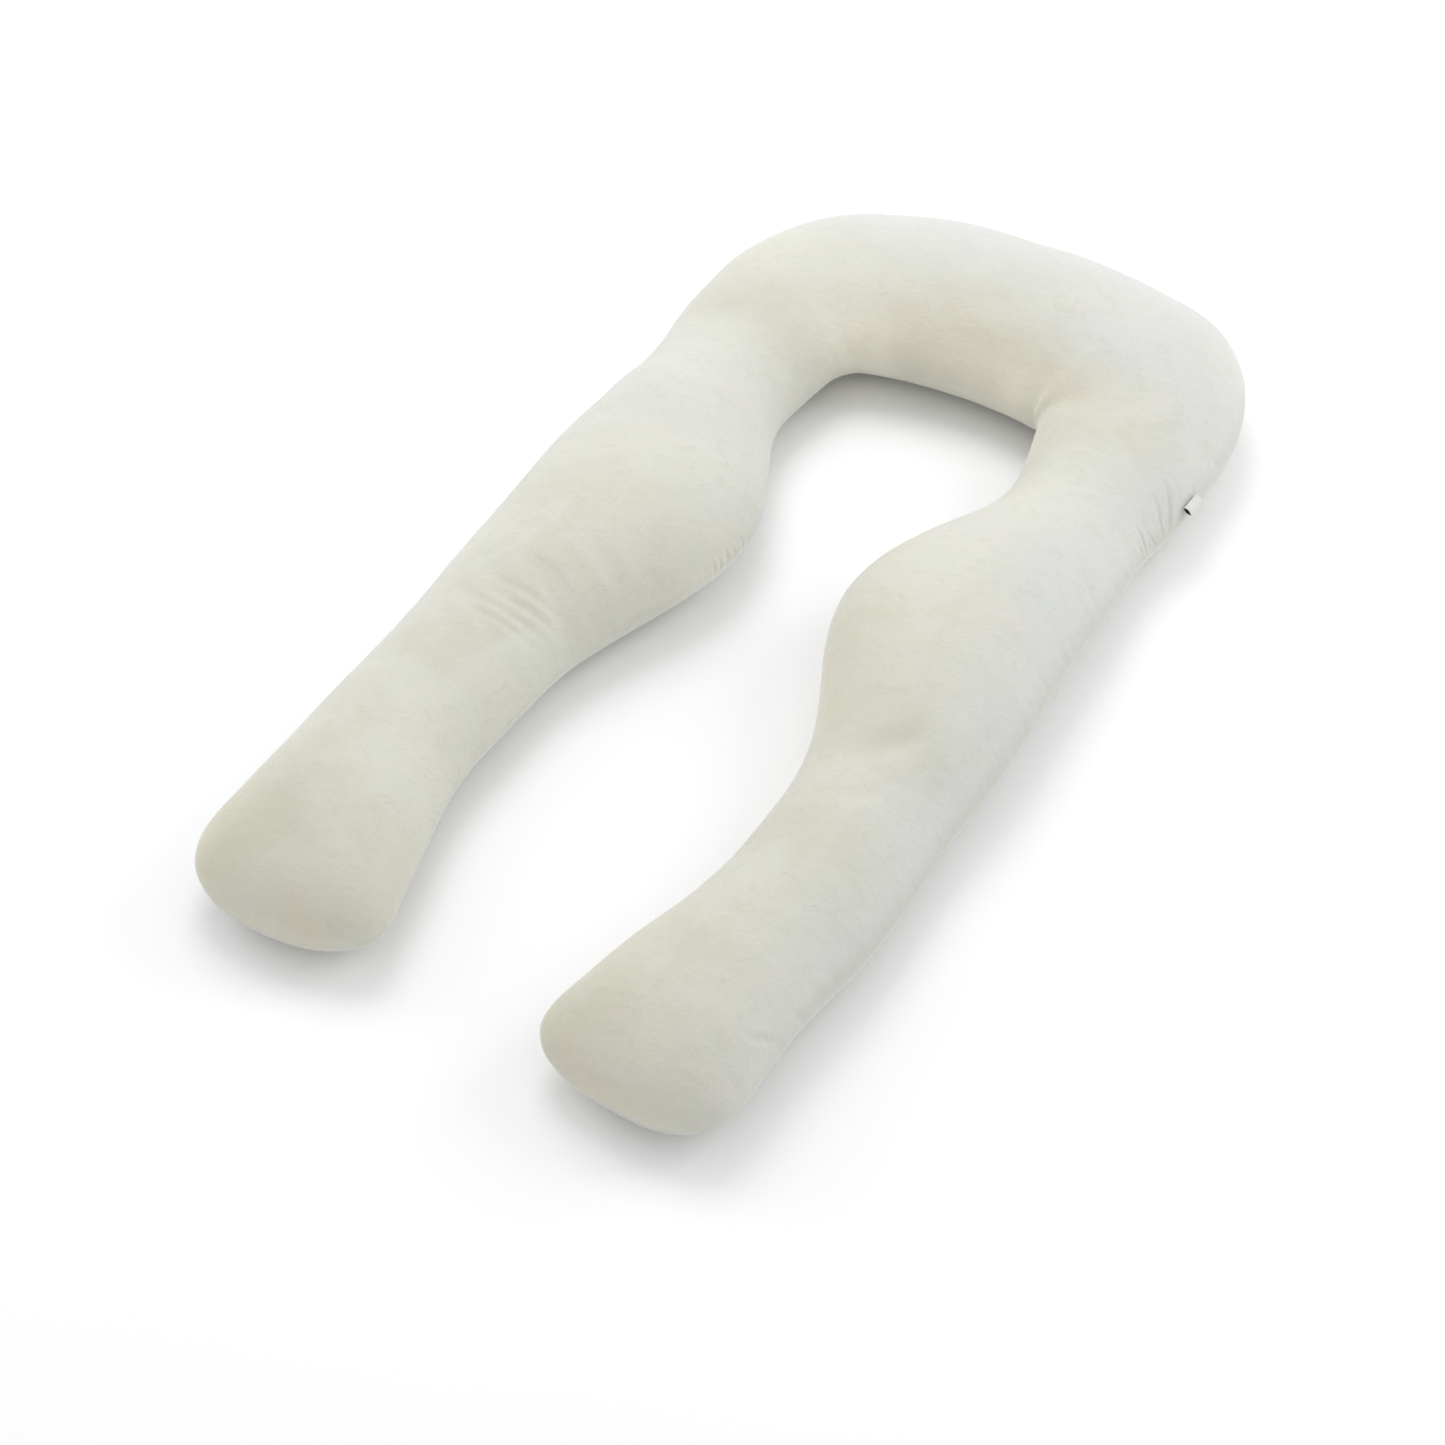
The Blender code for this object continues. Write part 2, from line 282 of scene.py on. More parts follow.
def cover_mesh():
    """The cover before its puckers: each vertex keeps how far along the pillow it is and its
    place round the section as attributes."""
    grid, tips = placed_grid()
    points = np.vstack((grid.reshape(-1, 3), tips))
    points[:, 2] = np.maximum(points[:, 2], 0.0)
    rings = len(grid)
    faces = []
    for r in range(rings - 1):
        for i in range(RING_POINTS):
            j = (i + 1) % RING_POINTS
            a, b = r * RING_POINTS, (r + 1) * RING_POINTS
            faces.append((a + i, a + j, b + j, b + i))
    last = (rings - 1) * RING_POINTS
    first_tip, last_tip = len(points) - 2, len(points) - 1
    for i in range(RING_POINTS):
        j = (i + 1) % RING_POINTS
        faces.append((first_tip, j, i))
        faces.append((last_tip, last + i, last + j))
    mesh = bpy.data.meshes.new("plush_cover")
    mesh.from_pydata(points.tolist(), [], faces)
    middles = points[:-2].reshape(rings, RING_POINTS, 3).mean(axis=1)
    steps = np.linalg.norm(np.diff(middles, axis=0), axis=1)
    travelled = np.concatenate(([0.0], np.cumsum(steps)))
    angle = 2 * math.pi * np.arange(RING_POINTS) / RING_POINTS
    keep = {
        "along": np.concatenate((np.repeat(travelled, RING_POINTS), (0.0, travelled[-1]))),
        "outward": np.concatenate((np.tile(np.cos(angle), rings), (0.0, 0.0))),
        "upward": np.concatenate((np.tile(np.sin(angle), rings), (0.0, 0.0))),
    }
    for name, values in keep.items():
        mesh.attributes.new(name, "FLOAT", "POINT").data.foreach_set("value", values)
    return mesh


def coordinates(mesh):
    """The vertices' places, one row each."""
    values = np.empty(len(mesh.vertices) * 3)
    mesh.vertices.foreach_get("co", values)
    return values.reshape(-1, 3)


def normals(mesh):
    """The vertices' normals, one row each."""
    values = np.empty(len(mesh.vertices) * 3, np.float32)
    mesh.vertex_normals.foreach_get("vector", values)
    return values.reshape(-1, 3).astype(float)


def attribute(mesh, name):
    """The vertices' values of this attribute."""
    values = np.empty(len(mesh.vertices))
    mesh.attributes[name].data.foreach_get("value", values)
    return values


def apply_modifiers(piece):
    """Put the piece's evaluated mesh in the place of its own."""
    graph = bpy.context.evaluated_depsgraph_get()
    made = bpy.data.meshes.new_from_object(piece.evaluated_get(graph), depsgraph=graph)
    old = piece.data
    piece.modifiers.clear()
    piece.data = made
    bpy.data.meshes.remove(old)


def blow_up(piece):
    """Run the cover as cloth under pressure, with no point moved further than the cap."""
    before = coordinates(piece.data)
    held = piece.vertex_groups.new(name="held")
    on_seam = np.abs(attribute(piece.data, "upward")) < 1e-6
    for index in np.flatnonzero(on_seam | (before[:, 2] < CLOTH_FLOOR_HOLD)):
        held.add([int(index)], 1.0, "REPLACE")
    modifier = piece.modifiers.new("cloth", "CLOTH")
    cloth = modifier.settings
    cloth.quality = 5
    cloth.mass = 0.3
    cloth.tension_stiffness = 15
    cloth.compression_stiffness = 15
    cloth.shear_stiffness = 5
    cloth.bending_stiffness = 0.5
    cloth.use_pressure = True
    cloth.uniform_pressure_force = CLOTH_PRESSURE
    cloth.vertex_group_mass = "held"
    cloth.effector_weights.gravity = 0.0
    modifier.collision_settings.use_self_collision = False
    modifier.collision_settings.use_collision = False
    modifier.point_cache.frame_start = 1
    modifier.point_cache.frame_end = CLOTH_FRAMES
    for frame in range(1, CLOTH_FRAMES + 1):
        bpy.context.scene.frame_set(frame)
    apply_modifiers(piece)
    bpy.context.scene.frame_set(1)
    piece.vertex_groups.clear()
    moved = coordinates(piece.data) - before
    length = np.linalg.norm(moved, axis=1)
    moved *= np.minimum(1.0, CLOTH_CAP / np.maximum(length, 1e-9))[:, None]
    after = before + moved
    after[:, 2] = np.maximum(after[:, 2], 0.0)
    piece.data.vertices.foreach_set("co", after.ravel())
    piece.data.update()


# Soft creases and puckers laid over the blown-up cover: how far along the pillow from the
# left leg's tip and at which angle of the section each starts and ends (0 the outer seam, 90
# the crown, 180 the inner seam), its depth, and its half width measured along the pillow
Crease = namedtuple("Crease", "start_along start_angle end_along end_angle depth half_width")
LABEL_PUCKERS = (
    Crease(1.748, 46, 1.752, 36, 0.0006, 0.0035),
    Crease(1.759, 24, 1.761, 7, 0.0008, 0.0035),
    Crease(1.790, 30, 1.797, 12, 0.0005, 0.0030),
    Crease(1.808, 44, 1.818, 18, 0.0008, 0.0030),
    Crease(1.816, 50, 1.851, 5, 0.0026, 0.0026),
    Crease(1.844, 46, 1.868, 12, 0.0018, 0.0026),
    Crease(1.858, 24, 1.866, 4, 0.0010, 0.0022),
    Crease(1.893, 30, 1.877, -6, 0.0013, 0.0020),
    Crease(1.902, 40, 1.907, 6, 0.0016, 0.0022),
    Crease(1.916, 26, 1.918, 8, 0.0006, 0.0026),
    Crease(1.953, 32, 1.948, 4, 0.0005, 0.0045),
    Crease(2.030, 46, 2.036, 30, 0.0007, 0.0055),
    Crease(2.118, 18, 2.098, -10, 0.0008, 0.0055),
    Crease(2.137, 24, 2.133, 6, 0.0008, 0.0055),
    Crease(2.186, 24, 2.181, 4, 0.0007, 0.0055),
    Crease(1.796, 95, 1.848, 60, 0.0018, 0.0140),
)
HUMP_PUCKERS = (
    Crease(0.672, 170, 0.674, 187, 0.0008, 0.0022),
    Crease(0.686, 166, 0.688, 188, 0.0014, 0.0024),
    Crease(0.697, 170, 0.699, 189, 0.0016, 0.0022),
    Crease(0.709, 168, 0.712, 188, 0.0017, 0.0024),
    Crease(0.722, 171, 0.724, 189, 0.0012, 0.0020),
    Crease(0.738, 168, 0.741, 187, 0.0010, 0.0024),
)
LEFT_LEG_BANDS = (
    Crease(0.545, 88, 0.482, 160, 0.0026, 0.0100),
    Crease(0.548, 98, 0.518, 138, 0.0014, 0.0070),
    Crease(0.512, 72, 0.440, 148, 0.0018, 0.0110),
    Crease(0.478, 64, 0.415, 120, 0.0015, 0.0100),
    Crease(0.604, 98, 0.570, 148, 0.0014, 0.0100),
    Crease(0.497, 84, 0.500, 140, 0.0009, 0.0042),
    Crease(0.478, 88, 0.484, 150, 0.0010, 0.0042),
    Crease(0.461, 80, 0.466, 146, 0.0010, 0.0045),
    Crease(0.446, 88, 0.449, 138, 0.0008, 0.0042),
)
CORNER_CREASES = (
    Crease(1.150, 105, 1.196, 190, 0.0012, 0.0360),
    Crease(1.535, 100, 1.612, 190, 0.0006, 0.0360),
    Crease(1.735, 118, 1.680, 186, 0.0015, 0.0280),
)
RIGHT_END_PUCKERS = (
    Crease(2.783, 44, 2.750, 14, 0.0020, 0.0045),
    Crease(2.724, 26, 2.702, -6, 0.0013, 0.0050),
    Crease(2.818, 36, 2.828, 8, 0.0013, 0.0045),
)
RIGHT_LEG_DIMPLES = (
    Crease(2.350, 66, 2.415, 110, 0.0026, 0.0170),
    Crease(2.440, 74, 2.470, 100, 0.0014, 0.0120),
)
CREASES = (LABEL_PUCKERS + HUMP_PUCKERS + LEFT_LEG_BANDS + CORNER_CREASES + RIGHT_END_PUCKERS
           + RIGHT_LEG_DIMPLES)

# The low ridges beside a crease: how many half widths away, and what share of its depth
RIDGE_AWAY = 1.9
RIDGE_SHARE = 0.3
TAPER_POWER = 0.8


def crease_depth(along, angle):
    """How far all the creases draw the cover in, with a low ridge beside each."""
    depth = np.zeros_like(along)
    for crease in CREASES:
        share = (angle - crease.start_angle) / (crease.end_angle - crease.start_angle)
        taper = np.where((share > 0.0) & (share < 1.0), np.sin(math.pi * np.clip(share, 0, 1)), 0.0)
        course = crease.start_along + (crease.end_along - crease.start_along) * share
        across = (along - course) / crease.half_width
        trough = np.exp(-across ** 2)
        ridges = np.exp(-(across - RIDGE_AWAY) ** 2) + np.exp(-(across + RIDGE_AWAY) ** 2)
        depth += crease.depth * taper ** TAPER_POWER * (trough - RIDGE_SHARE * ridges)
    return depth


# The outer seam runs a little above the widest line, but not at the leg ends: how many
# degrees of the section, and over how much of the length it comes to that
OUTER_SEAM_ANGLE = 16.0
OUTER_SEAM_FADE = 0.25


def outer_seam_angle(along):
    """The angle of the section at which the outer seam runs, at each place along."""
    from_end = np.minimum(along, along.max() - along)
    share = np.clip(from_end / OUTER_SEAM_FADE, 0.0, 1.0)
    return OUTER_SEAM_ANGLE * share * share * (3.0 - 2.0 * share)


# Painted shade at and below the seams, where the cover turns down towards the floor: from how far
# above to how far below each, in degrees of the section, and how much at most
SeamPaintedShade = namedtuple("SeamPaintedShade", "above below share")
OUTER_PAINTED_SHADE = SeamPaintedShade(14.0, 16.0, 0.95)
INNER_PAINTED_SHADE = SeamPaintedShade(6.0, 3.0, 0.50)

# Painted light and shade on the pile, as soft patches by place and reach in plan: warm and deep
# ones are painted shade, grey ones a painted sheen and light ones painted light
Patch = namedtuple("Patch", "tone x y reach_x reach_y strength")
PATCHES = (
    # Warm patches: painted shade, darker and warmer
    Patch("painted_shade_warm", -0.26, -0.68, 0.16, 0.10, 0.9),
    Patch("painted_shade_warm", -0.32, -0.66, 0.05, 0.12, 0.4),
    Patch("painted_shade_warm", 0.15, -0.68, 0.12, 0.12, 0.9),
    Patch("painted_shade_warm", 0.12, -0.62, 0.07, 0.20, 0.3),
    Patch("painted_shade_warm", 0.02, 0.435, 0.15, 0.05, 1.7),
    Patch("painted_shade_warm", 0.135, 0.36, 0.04, 0.05, 0.6),
    Patch("painted_shade_warm", 0.15, -0.12, 0.10, 0.22, 0.5),
    Patch("painted_shade_warm", -0.17, -0.04, 0.09, 0.07, 0.3),
    # Grey patches: a painted sheen, more neutral towards the far and outer edges
    Patch("painted_sheen_grey", 0.36, -0.20, 0.09, 0.55, 0.9),
    Patch("painted_sheen_grey", 0.34, 0.35, 0.12, 0.25, 0.7),
    Patch("painted_sheen_grey", 0.05, 0.71, 0.36, 0.14, 1.2),
    Patch("painted_sheen_grey", -0.22, 0.20, 0.16, 0.14, 0.6),
    Patch("painted_sheen_grey", -0.08, 0.02, 0.05, 0.16, 0.6),
    Patch("painted_sheen_grey", 0.22, 0.14, 0.14, 0.07, 0.4),
    Patch("painted_sheen_grey", 0.17, 0.51, 0.09, 0.05, 0.7),
    Patch("painted_sheen_grey", -0.15, 0.57, 0.10, 0.06, 0.5),
    # Deep patches: painted shade, darker and olive
    Patch("painted_shade_deep", -0.245, -0.56, 0.07, 0.07, 0.9),
    Patch("painted_shade_deep", -0.29, -0.66, 0.05, 0.04, 0.6),
    Patch("painted_shade_deep", 0.265, -0.18, 0.04, 0.04, 0.8),
    Patch("painted_shade_deep", 0.238, -0.35, 0.07, 0.05, 0.6),
    Patch("painted_shade_deep", 0.22, -0.485, 0.05, 0.06, 0.6),
    Patch("painted_shade_deep", 0.14, -0.64, 0.06, 0.06, 0.7),
    Patch("painted_shade_deep", 0.25, 0.385, 0.06, 0.045, 0.6),
    Patch("painted_shade_deep", -0.23, 0.36, 0.07, 0.05, 0.5),
    Patch("painted_shade_deep", -0.25, -0.325, 0.06, 0.04, 0.5),
    # Light patches: painted light along the inner edges
    Patch("light", -0.115, 0.408, 0.05, 0.03, 1.0),
    Patch("light", 0.0, 0.428, 0.09, 0.02, 0.5),
    Patch("light", 0.085, 0.422, 0.03, 0.02, 0.5),
    Patch("light", -0.078, -0.03, 0.022, 0.07, 0.5),
)


def painted_shade_share(above_seam, shade):
    """How much painted shade the pile takes at this many degrees above its seam."""
    share = np.clip((shade.above - above_seam) / (shade.above + shade.below), 0.0, 1.0)
    return shade.share * share * share * (3.0 - 2.0 * share)


def paint_light_and_shade(mesh, points, angle, seam_angle):
    """Keep the painted shade, sheen and light on the pile and its place by the seams as attributes
    for the material.
    """
    outer, inner = angle - seam_angle, 180.0 - angle
    keep = {
        "above_seam": np.where(np.abs(outer) < np.abs(inner), outer, inner),
        "under": np.maximum(painted_shade_share(outer, OUTER_PAINTED_SHADE), painted_shade_share(inner, INNER_PAINTED_SHADE)),
    }
    for tone in ("painted_shade_warm", "painted_sheen_grey", "painted_shade_deep", "light"):
        keep[tone] = np.zeros(len(points))
    for patch in PATCHES:
        away = ((points[:, 0] - patch.x) / patch.reach_x) ** 2
        away += ((points[:, 1] - patch.y) / patch.reach_y) ** 2
        keep[patch.tone] += patch.strength * np.exp(-away)
    for name, values in keep.items():
        mesh.attributes.new(name, "FLOAT", "POINT").data.foreach_set("value", values)


# Unevenness of the filling under the cover, and of the seam where the panels gather
LUMP_SIZE = 0.16
LUMP_HEIGHT = 0.0022
RIPPLE_SIZE = 0.045
RIPPLE_HEIGHT = 0.0007
GATHER_SIZE = 0.014
GATHER_DEPTH = 0.0012
GATHER_REACH = 12.0
GATHER_BASE = 0.3
GATHER_PATCHES = Vector((7.0, 0.0, 0.0))
GATHER_SIDES = 3.0

# The unevenness and the creases come in over this height above the floor
FLOOR_FADE = 0.02

# Where the filling stands fuller, or less full where the height is below 0: how far along,
# at which angle of the section, how far it reaches each way, and how high
Swell = namedtuple("Swell", "along angle reach_along reach_angle height")
SWELLS = (
    Swell(1.480, 62, 0.085, 45, 0.0070),
    Swell(1.255, 62, 0.050, 45, -0.0035),
    Swell(1.135, 62, 0.045, 45, 0.0040),
    Swell(1.035, 62, 0.030, 45, -0.0035),
    Swell(0.890, 62, 0.060, 45, 0.0070),
    Swell(0.560, 62, 0.120, 45, 0.0040),
)


def swell_height(along, angle):
    """How far the uneven filling lifts the cover."""
    lift = np.zeros_like(along)
    for swell in SWELLS:
        away = ((along - swell.along) / swell.reach_along) ** 2
        away += ((angle - swell.angle) / swell.reach_angle) ** 2
        lift += swell.height * np.exp(-away)
    return lift


def lay_creases(piece):
    """Filling lumps, seam gathers and the listed creases, on the fine mesh."""
    points = coordinates(piece.data)
    along = attribute(piece.data, "along")
    outward = attribute(piece.data, "outward")
    upward = attribute(piece.data, "upward")
    angle = np.degrees(np.arctan2(upward, outward))
    # Angles go on past the inner seam, so that a crease can cross it
    angle = np.where(angle < -90.0, angle + 360.0, angle)
    seam_angle = outer_seam_angle(along)
    rise = np.empty(len(points))
    for i, point in enumerate(points):
        place = Vector(point)
        rise[i] = LUMP_HEIGHT * noise.noise(place / LUMP_SIZE)
        rise[i] += RIPPLE_HEIGHT * noise.noise(place / RIPPLE_SIZE)
        from_seam = min(abs(angle[i] - seam_angle[i]), abs(angle[i] - 180.0))
        if from_seam < 3 * GATHER_REACH:
            seat = Vector((along[i] / GATHER_SIZE, GATHER_SIDES * np.sign(outward[i]), 0.0))
            fade = math.exp(-(from_seam / GATHER_REACH) ** 2)
            patch = max(0.0, GATHER_BASE + noise.noise(place / LUMP_SIZE + GATHER_PATCHES))
            rise[i] += GATHER_DEPTH * patch * fade * noise.noise(seat)
    rise += swell_height(along, angle) - crease_depth(along, angle)
    on_top = np.clip(points[:, 2] / FLOOR_FADE, 0.0, 1.0)
    points += normals(piece.data) * (rise * on_top)[:, None]
    points[:, 2] = np.maximum(points[:, 2], 0.0)
    piece.data.vertices.foreach_set("co", points.ravel())
    piece.data.update()
    paint_light_and_shade(piece.data, points, angle, seam_angle)


class Nodes:
    """Short calls for building a material's nodes."""

    def __init__(self, name):
        self.material = bpy.data.materials.new(name)
        self.material.use_nodes = True
        self.tree = self.material.node_tree
        self.shader = self.tree.nodes["Principled BSDF"]

    def add(self, kind, settings=None, **inputs):
        node = self.tree.nodes.new(kind)
        for name, value in (settings or {}).items():
            setattr(node, name, value)
        for name, value in inputs.items():
            self.put(value, node.inputs[name.replace("_", " ")])
        return node

    def put(self, value, socket):
        if isinstance(value, bpy.types.NodeSocket):
            self.tree.links.new(value, socket)
        else:
            socket.default_value = value

    def math(self, operation, *values):
        node = self.tree.nodes.new("ShaderNodeMath")
        node.operation = operation
        for value, socket in zip(values, node.inputs):
            self.put(value, socket)
        return node.outputs[0]

    def attribute(self, name):
        return self.add("ShaderNodeAttribute", {"attribute_name": name}).outputs["Fac"]

    def noise(self, place, stretch, scale, detail, roughness=0.5, distortion=0.0):
        spot = self.add("ShaderNodeMapping", Vector=place, Scale=stretch)
        made = self.add("ShaderNodeTexNoise", Vector=spot.outputs[0], Scale=scale, Detail=detail,
                        Roughness=roughness, Distortion=distortion)
        return made.outputs["Fac"]

    def spread(self, value, low, high):
        """The value from low to high brought to 0 to 1."""
        node = self.add("ShaderNodeMapRange", {"interpolation_type": "SMOOTHSTEP"})
        self.put(value, node.inputs["Value"])
        self.put(low, node.inputs["From Min"])
        self.put(high, node.inputs["From Max"])
        return node.outputs[0]

    def mix(self, factor, first, second):
        node = self.tree.nodes.new("ShaderNodeMix")
        node.data_type = "RGBA"
        self.put(factor, node.inputs["Factor"])
        self.put(first, node.inputs["A"])
        self.put(second, node.inputs["B"])
        return node.outputs["Result"]

    def bump(self, height, strength, distance, under=None):
        node = self.add("ShaderNodeBump", Strength=strength, Distance=distance, Height=height)
        if under is not None:
            self.put(under, node.inputs["Normal"])
        return node.outputs[0]


# Colours: the pile's tones, its painted shade, sheen and light, the tape with its painted inner
# shade, and the floor
IVORY_PALE = (0.645, 0.645, 0.580, 1.0)
IVORY_DEEP = (0.605, 0.600, 0.520, 1.0)
# Tints of the patches: a warm and an olive painted shade, a grey painted sheen and a paler painted
# light
IVORY_WARM_PAINTED_SHADE = (0.635, 0.600, 0.475, 1.0)
IVORY_PAINTED_SHEEN = (0.614, 0.626, 0.612, 1.0)
IVORY_OLIVE_PAINTED_SHADE = (0.550, 0.540, 0.440, 1.0)
IVORY_PAINTED_LIGHT = (0.775, 0.750, 0.635, 1.0)
# Painted shade at and below the seams
UNDER_SEAM_PAINTED_SHADE = (0.550, 0.552, 0.500, 1.0)
PILE_SHADE = (0.550, 0.540, 0.450, 1.0)
PILE_ROSY = (0.655, 0.620, 0.570, 1.0)
PILE_GREEN = (0.620, 0.650, 0.555, 1.0)
TAPE_DIM = (0.640, 0.640, 0.620, 1.0)
TAPE_BRIGHT = (0.700, 0.700, 0.680, 1.0)
# Painted shade on the tape's inner side
TAPE_INSIDE_PAINTED_SHADE = (0.040, 0.040, 0.040, 1.0)
FLOOR_PALE = (0.965, 0.968, 0.980, 1.0)
FLOOR_DIM = (0.960, 0.963, 0.975, 1.0)

# The pile's clouds: where in their noise the deeper tone comes in, and how uneven they make
# the patches
Reach = namedtuple("Reach", "low high")
CLOUD_TONE = Reach(0.38, 0.66)
CLOUD_SWING = Reach(0.25, 0.75)

# A pattern that isn't drawn out to any side
EVEN = (1.0, 1.0, 1.0)

# Layers of the pile's pattern, from patches where it lies another way down to single fibres:
# the noise of each, the tint that it lays where the noise is high, and its relief
PileLayer = namedtuple(
    "PileLayer", "stretch scale detail roughness twist low high share tint bump height")
PILE_LAYERS = (
    PileLayer(EVEN, 17.0, 3.0, 0.60, 0.4, 0.50, 0.72, 0.35, PILE_ROSY, 0.0, 0.0),
    PileLayer((1.0, 1.0, 1.3), 23.0, 3.0, 0.60, 0.4, 0.50, 0.72, 0.35, PILE_GREEN, 0.0, 0.0),
    PileLayer((0.8, 1.0, 1.0), 42.0, 4.0, 0.62, 0.9, 0.50, 0.72, 0.35, PILE_SHADE, 0.30, 0.004),
    PileLayer((1.0, 0.8, 1.0), 75.0, 4.0, 0.66, 1.6, 0.60, 0.74, 0.40, PILE_SHADE, 0.35, 0.0018),
    PileLayer(EVEN, 260.0, 3.0, 0.60, 0.4, 0.50, 0.80, 0.22, PILE_SHADE, 0.30, 0.0012),
    PileLayer((1.0, 0.8, 1.0), 1300.0, 2.0, 0.60, 0.0, 0.50, 0.80, 0.0, PILE_SHADE, 0.20, 0.0005),
)
# The seam's groove: half its width in degrees of the section, and its relief
GROOVE_REACH = 2.0
GROOVE_BUMP = 0.07
GROOVE_HEIGHT = 0.0015


def plush_material():
    """Short brushed pile: clouds where it lies one way or the other, crushed marks and sheen, with
    painted shade, painted sheen and painted light laid on from the patches and below the seams.
    """
    n = Nodes("plush_cover")
    place = n.add("ShaderNodeTexCoord").outputs["Object"]
    clouds = n.noise(place, EVEN, scale=7.0, detail=4.0, roughness=0.55, distortion=0.6)
    colour = n.mix(n.spread(clouds, CLOUD_TONE.low, CLOUD_TONE.high), IVORY_PALE, IVORY_DEEP)
    uneven = n.math("ADD", n.spread(clouds, CLOUD_SWING.low, CLOUD_SWING.high), 0.5)
    # Painted shade from the warm and deep patches and a painted sheen from the grey ones, made
    # uneven by the clouds
    for name, tint in (("painted_shade_warm", IVORY_WARM_PAINTED_SHADE), ("painted_sheen_grey", IVORY_PAINTED_SHEEN), ("painted_shade_deep", IVORY_OLIVE_PAINTED_SHADE)):
        tone = n.math("MULTIPLY", n.attribute(name), uneven)
        colour = n.mix(n.math("MINIMUM", tone, 1.0), colour, tint)
    from_seam = n.math("ABSOLUTE", n.attribute("above_seam"))
    off_seam = n.spread(from_seam, 0.0, GROOVE_REACH)
    relief = n.bump(n.math("SUBTRACT", off_seam, 1.0), GROOVE_BUMP, GROOVE_HEIGHT)
    for layer in PILE_LAYERS:
        pattern = n.noise(place, layer.stretch, layer.scale, layer.detail, layer.roughness,
                          layer.twist)
        if layer.share > 0.0:
            amount = n.math("MULTIPLY", n.spread(pattern, layer.low, layer.high), layer.share)
            colour = n.mix(amount, colour, layer.tint)
        if layer.bump > 0.0:
            relief = n.bump(pattern, layer.bump, layer.height, relief)
    # Painted shade at and below the seams
    colour = n.mix(n.attribute("under"), colour, UNDER_SEAM_PAINTED_SHADE)
    # Painted light from the light patches, made uneven by the clouds
    light = n.math("MULTIPLY", n.attribute("light"), uneven)
    colour = n.mix(n.math("MINIMUM", light, 1.0), colour, IVORY_PAINTED_LIGHT)
    n.put(colour, n.shader.inputs["Base Color"])
    n.put(relief, n.shader.inputs["Normal"])
    n.shader.inputs["Roughness"].default_value = 0.95
    n.shader.inputs["Specular IOR Level"].default_value = 0.15
    n.shader.inputs["Sheen Weight"].default_value = 0.6
    n.shader.inputs["Sheen Roughness"].default_value = 0.45
    n.shader.inputs["Sheen Tint"].default_value = (1.0, 0.99, 0.98, 1.0)
    return n.material


def tape_material():
    """White satin tape with painted shade, near black, on its inner side: fine ribs across it and a
    soft gloss.
    """
    n = Nodes("label_tape")
    place = n.add("ShaderNodeTexCoord").outputs["UV"]
    ribs = n.add("ShaderNodeTexWave", {"bands_direction": "Y"}, Vector=place, Scale=22.0,
                 Distortion=0.4, Detail=1.0).outputs["Fac"]
    threads = n.add("ShaderNodeTexWave", {"bands_direction": "X"}, Vector=place, Scale=30.0,
                    Distortion=0.4, Detail=1.0).outputs["Fac"]
    weave = n.math("MULTIPLY", ribs, threads)
    face = n.mix(weave, TAPE_DIM, TAPE_BRIGHT)
    # Painted shade, near black, on the loop's inner side
    n.put(n.mix(n.attribute("inside"), face, TAPE_INSIDE_PAINTED_SHADE), n.shader.inputs["Base Color"])
    n.put(n.bump(weave, strength=0.3, distance=0.0002), n.shader.inputs["Normal"])
    n.shader.inputs["Roughness"].default_value = 0.45
    n.shader.inputs["Sheen Weight"].default_value = 0.2
    return n.material


def floor_material():
    """A plain pale floor."""
    n = Nodes("pale_floor")
    place = n.add("ShaderNodeTexCoord").outputs["Object"]
    speck = n.noise(place, EVEN, scale=3.0, detail=2.0)
    n.put(n.mix(speck, FLOOR_PALE, FLOOR_DIM), n.shader.inputs["Base Color"])
    n.shader.inputs["Roughness"].default_value = 0.9
    n.shader.inputs["Specular IOR Level"].default_value = 0.1
    return n.material


def build_cover():
    """The plush cover: blown up, made finer, then creased."""
    cover = named_piece("plush_body", cover_mesh(), plush_material())
    blow_up(cover)
    subdivision = cover.modifiers.new("fine", "SUBSURF")
    subdivision.levels = 1
    subdivision.render_levels = 1
    apply_modifiers(cover)
    lay_creases(cover)
    cover.data.shade_smooth()
    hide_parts("pillow_body")
    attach(cover, "root")
    return cover


# Loop label: a strip of tape folded in two and sewn into the outer seam by both ends
LABEL_WIDTH = 0.027
LABEL_REACH = 0.012
LABEL_TAPE = 0.0009
LABEL_OPENING = 0.0048
LABEL_DROOP = math.radians(30)
LABEL_GAP = 0.0006
LABEL_STEPS = 28
LABEL_STEPS_ALONG = 24
LABEL_EDGE_CURL = 0.0005
LABEL_SAG = 0.04
LABEL_WAVE = 3.0
LABEL_SHARP_ANGLE = math.radians(50)
# How full the fold's tip is, and how soon the loop opens from its ends
LABEL_TIP_POWER = 0.75
LABEL_OPEN_POWER = 0.8


def label_section():
    """Middle line of the folded tape: how far out of the seam, and how far up, round the fold."""
    line = []
    for i in range(LABEL_STEPS + 1):
        turn = math.pi * i / LABEL_STEPS
        out = LABEL_REACH * math.sin(turn) ** LABEL_TIP_POWER
        open_share = math.sin(math.pi * (out / LABEL_REACH) ** LABEL_OPEN_POWER)
        apart = LABEL_TAPE / 2 + LABEL_OPENING / 2 * open_share
        up = apart * (1 if turn < math.pi / 2 else -1)
        if i * 2 == LABEL_STEPS:
            up = 0.0
        line.append((out, up))
    return line


